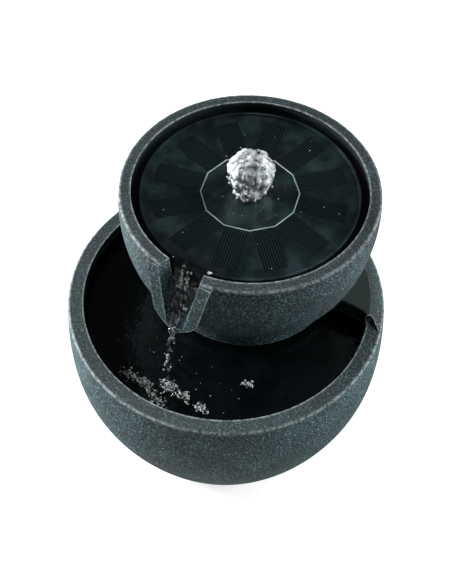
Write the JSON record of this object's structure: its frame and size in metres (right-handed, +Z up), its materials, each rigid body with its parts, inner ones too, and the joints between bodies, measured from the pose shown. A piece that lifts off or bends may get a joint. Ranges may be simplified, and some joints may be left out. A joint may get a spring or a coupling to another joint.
{
  "type": "solar fountain pump",
  "caption": "Cascading bowl fountain: an upper bowl with a solar panel and bubbling jet spills through a V spout into a deep lower bowl that holds the pump.",
  "frame": {"origin": "centre of the lower bowl's flat base, on the ground", "axes": "+Z up, -Y towards the spout and the open pool, +X to the right seen from the spout"},
  "size_m": [0.318, 0.3204, 0.375],
  "materials": {
    "cast_stone": "speckled cast stone, satin when wet",
    "rubber": "matt",
    "hose": "smooth vinyl",
    "steel": "satin",
    "black_plastic": "moulded, fine grain",
    "grey_plastic": "moulded",
    "white_plastic": "moulded",
    "button": "soft touch",
    "bush": "ground",
    "core": "laminated",
    "copper": "enamelled wire",
    "magnet": "sintered",
    "potting": "cast resin",
    "cable": "satin sheath",
    "sponge": "open foam",
    "board": "lacquered",
    "solar_cell": "dark blue with fine fingers",
    "busbar": "bright",
    "clear_cover": "clear resin",
    "battery": "shrink sleeve",
    "water": "aerated water"
  },
  "bodies": {
    "basin": {"lower_bowl": "cast_stone", "seat_ring": "rubber", "drain_seal": "rubber", "lower_hose": "hose", "lower_hose_clips": "steel", "pump_body": "black_plastic", "volute_cover": "black_plastic", "volute_seal": "rubber", "volute_screws": "steel", "rotor_shaft": "steel", "shaft_bushes": "bush", "stator_core": "core", "stator_windings": "copper", "drive_board": "board", "pump_rear_cap": "potting", "suction_cups": "rubber", "pump_cable": "cable", "cable_socket": "black_plastic"},
    "drain_plug": {"drain_plug": "rubber"},
    "rotor": {"impeller": "white_plastic", "rotor_magnet": "magnet"},
    "strainer": {"inlet_strainer": "black_plastic", "filter_sponge": "sponge"},
    "flow_dial": {"flow_dial": "grey_plastic"},
    "upper_tier": {"upper_bowl": "cast_stone", "bowl_bulkhead": "black_plastic", "bulkhead_seal": "rubber", "bulkhead_nut": "black_plastic", "cable_gland": "black_plastic", "gland_nut": "black_plastic", "upper_hose": "hose", "upper_hose_clip": "steel", "panel_cable": "cable", "panel_plug": "black_plastic", "lower_plug": "black_plastic"},
    "panel": {"panel_tray": "black_plastic", "solar_cells": "solar_cell", "cell_busbar": "busbar", "panel_cover": "clear_cover", "panel_legs": "black_plastic", "leg_pads": "rubber", "control_box": "black_plastic", "control_box_lid": "black_plastic", "lid_seal": "rubber", "lid_screws": "steel", "battery_cell": "battery", "battery_contacts": "steel", "circuit_board": "board", "board_parts": "grey_plastic", "panel_socket": "black_plastic"},
    "power_button": {"power_button": "button"},
    "nozzle": {"nozzle": "black_plastic", "water_jet": "water"}
  },
  "joints": [
    {"name": "upper_tier_lift", "type": "slide", "parent": "basin", "child": "upper_tier", "axis": [0, 0, 1], "range_m": [0, 0.15]},
    {"name": "panel_lift", "type": "slide", "parent": "upper_tier", "child": "panel", "axis": [0, 0, 1], "range_m": [0, 0.11]},
    {"name": "nozzle_pull", "type": "slide", "parent": "panel", "child": "nozzle", "axis": [0, 0, 1], "range_m": [0, 0.04]},
    {"name": "button_press", "type": "slide", "parent": "panel", "child": "power_button", "axis": [0, 0, 1], "range_m": [0, 0.0015]},
    {"name": "rotor_spin", "type": "hinge", "parent": "basin", "child": "rotor", "pos_m": [0, 0.04, 0.039], "axis": [0, 1, 0], "continuous": true},
    {"name": "strainer_pull", "type": "slide", "parent": "basin", "child": "strainer", "axis": [0, -1, 0], "range_m": [0, 0.04]},
    {"name": "flow_turn", "type": "hinge", "parent": "strainer", "child": "flow_dial", "pos_m": [0, 0.01, 0.039], "axis": [0, 1, 0], "range_deg": [0, 90]},
    {"name": "drain_pull", "type": "slide", "parent": "basin", "child": "drain_plug", "axis": [0, 1, 0], "range_m": [0, 0.03]}
  ]
}
